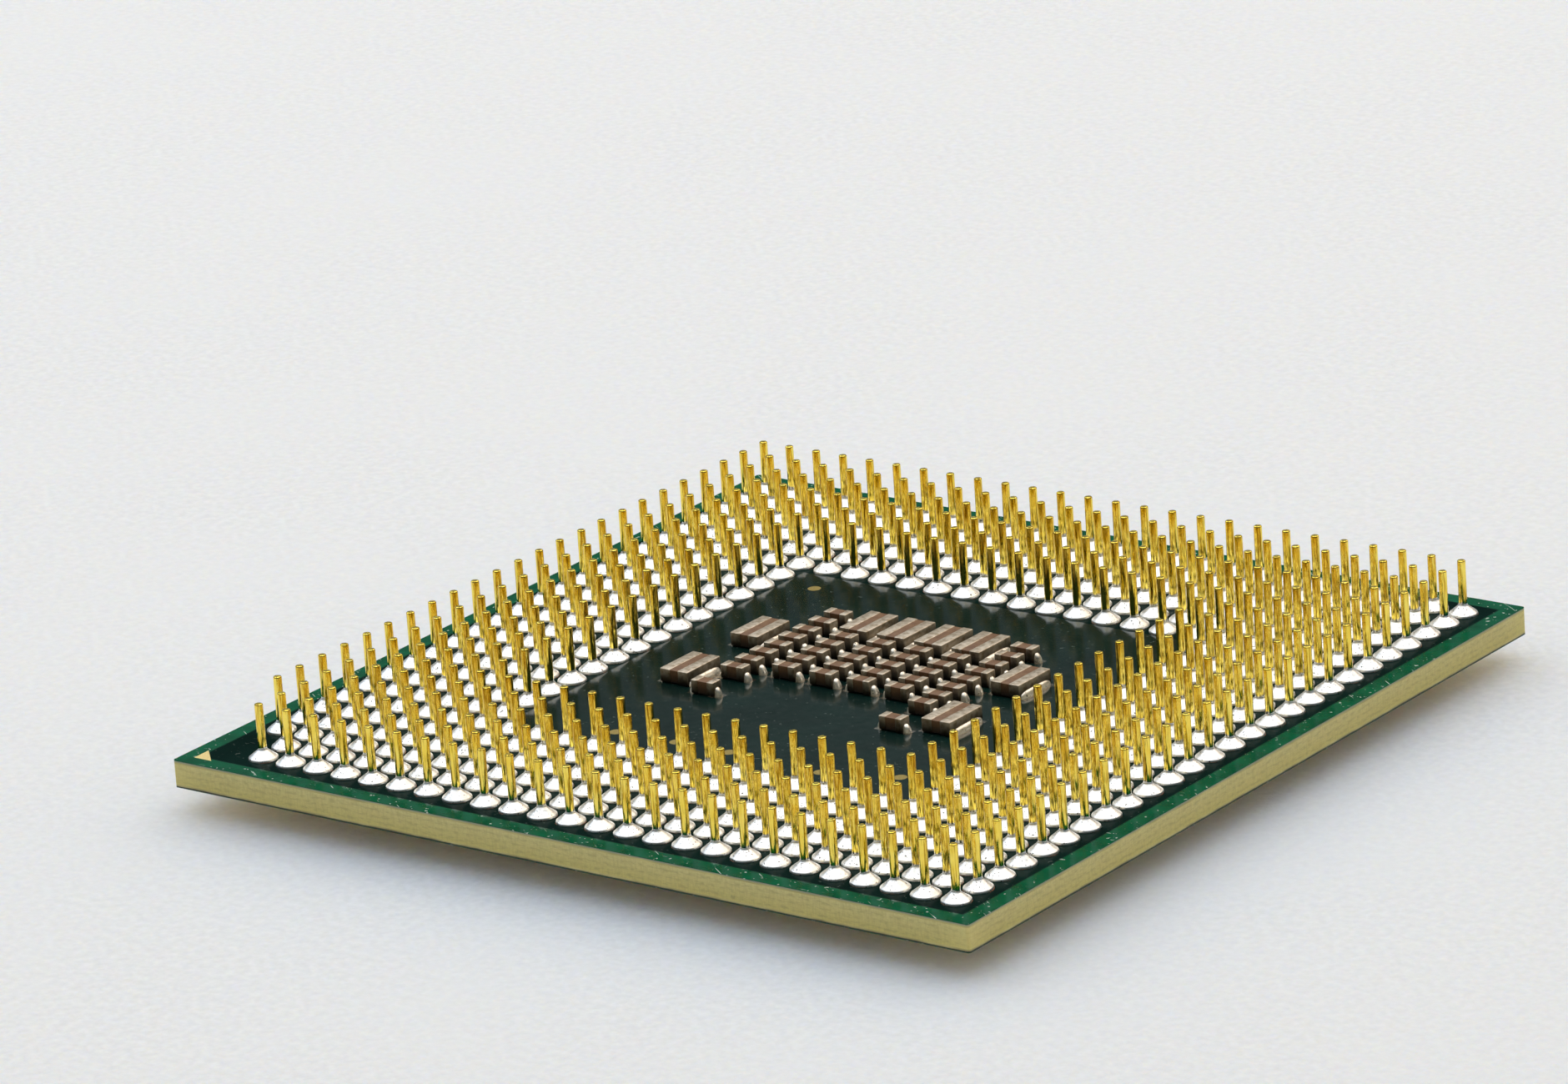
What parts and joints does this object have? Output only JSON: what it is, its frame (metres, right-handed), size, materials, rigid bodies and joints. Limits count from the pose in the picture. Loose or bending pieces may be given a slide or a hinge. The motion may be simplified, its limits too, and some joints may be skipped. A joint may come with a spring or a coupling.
{
  "type": "mobile processor package",
  "caption": "Square bare-die processor in a micro pin-grid-array package, with gold pins, soldered capacitors in the middle and a silicon die on the other face.",
  "frame": {"origin": "under the middle of the square board, on the surface that the back of the die rests on", "axes": "+Z from the die side to the pin side, along the pins; +X along the lettered first row of pins; the pin-one corner is at -X, -Y"},
  "size_m": [0.035, 0.035, 0.0039],
  "materials": {
    "pin_gold": "bright gold plating",
    "flash_gold": "satin gold plating",
    "solder": "bright solder",
    "copper": "plated copper",
    "laminate": "cut glass-cloth laminate",
    "build_up_resin": "satin resin",
    "solder_mask": "semi-gloss lacquer",
    "capacitor_ceramic": "fired ceramic",
    "tinned_terminal": "matt tin plating",
    "silicon": "ground and polished",
    "underfill_resin": "cured resin"
  },
  "bodies": {
    "root": {"pin_row_a": "pin_gold", "pin_row_b": "pin_gold", "pin_row_c": "pin_gold", "pin_row_d": "pin_gold", "pin_row_e": "pin_gold", "pin_row_f": "pin_gold", "pin_row_g": "pin_gold", "pin_row_h": "pin_gold", "pin_row_j": "pin_gold", "pin_row_k": "pin_gold", "pin_row_l": "pin_gold", "pin_row_m": "pin_gold", "pin_row_n": "pin_gold", "pin_row_p": "pin_gold", "pin_row_r": "pin_gold", "pin_row_t": "pin_gold", "pin_row_u": "pin_gold", "pin_row_v": "pin_gold", "pin_row_w": "pin_gold", "pin_row_y": "pin_gold", "pin_row_aa": "pin_gold", "pin_row_ab": "pin_gold", "pin_row_ac": "pin_gold", "pin_row_ad": "pin_gold", "pin_row_ae": "pin_gold", "pin_row_af": "pin_gold", "pin_heads": "pin_gold", "pin_pads": "copper", "pin_solder": "solder", "laminate_core": "laminate", "core_vias": "copper", "copper_plane_pin_side": "copper", "copper_plane_die_side": "copper", "build_up_pin_side": "build_up_resin", "build_up_die_side": "build_up_resin", "solder_mask_pin_side": "solder_mask", "solder_mask_die_side": "solder_mask", "pin_one_mark": "flash_gold", "test_pads": "flash_gold", "small_capacitor_bodies": "capacitor_ceramic", "small_capacitor_terminals": "tinned_terminal", "large_capacitor_bodies": "capacitor_ceramic", "large_capacitor_terminals": "tinned_terminal", "capacitor_pads": "copper", "capacitor_solder": "solder", "silicon_die": "silicon", "die_bumps": "solder", "bump_pads": "copper", "underfill": "underfill_resin"}
  },
  "joints": []
}
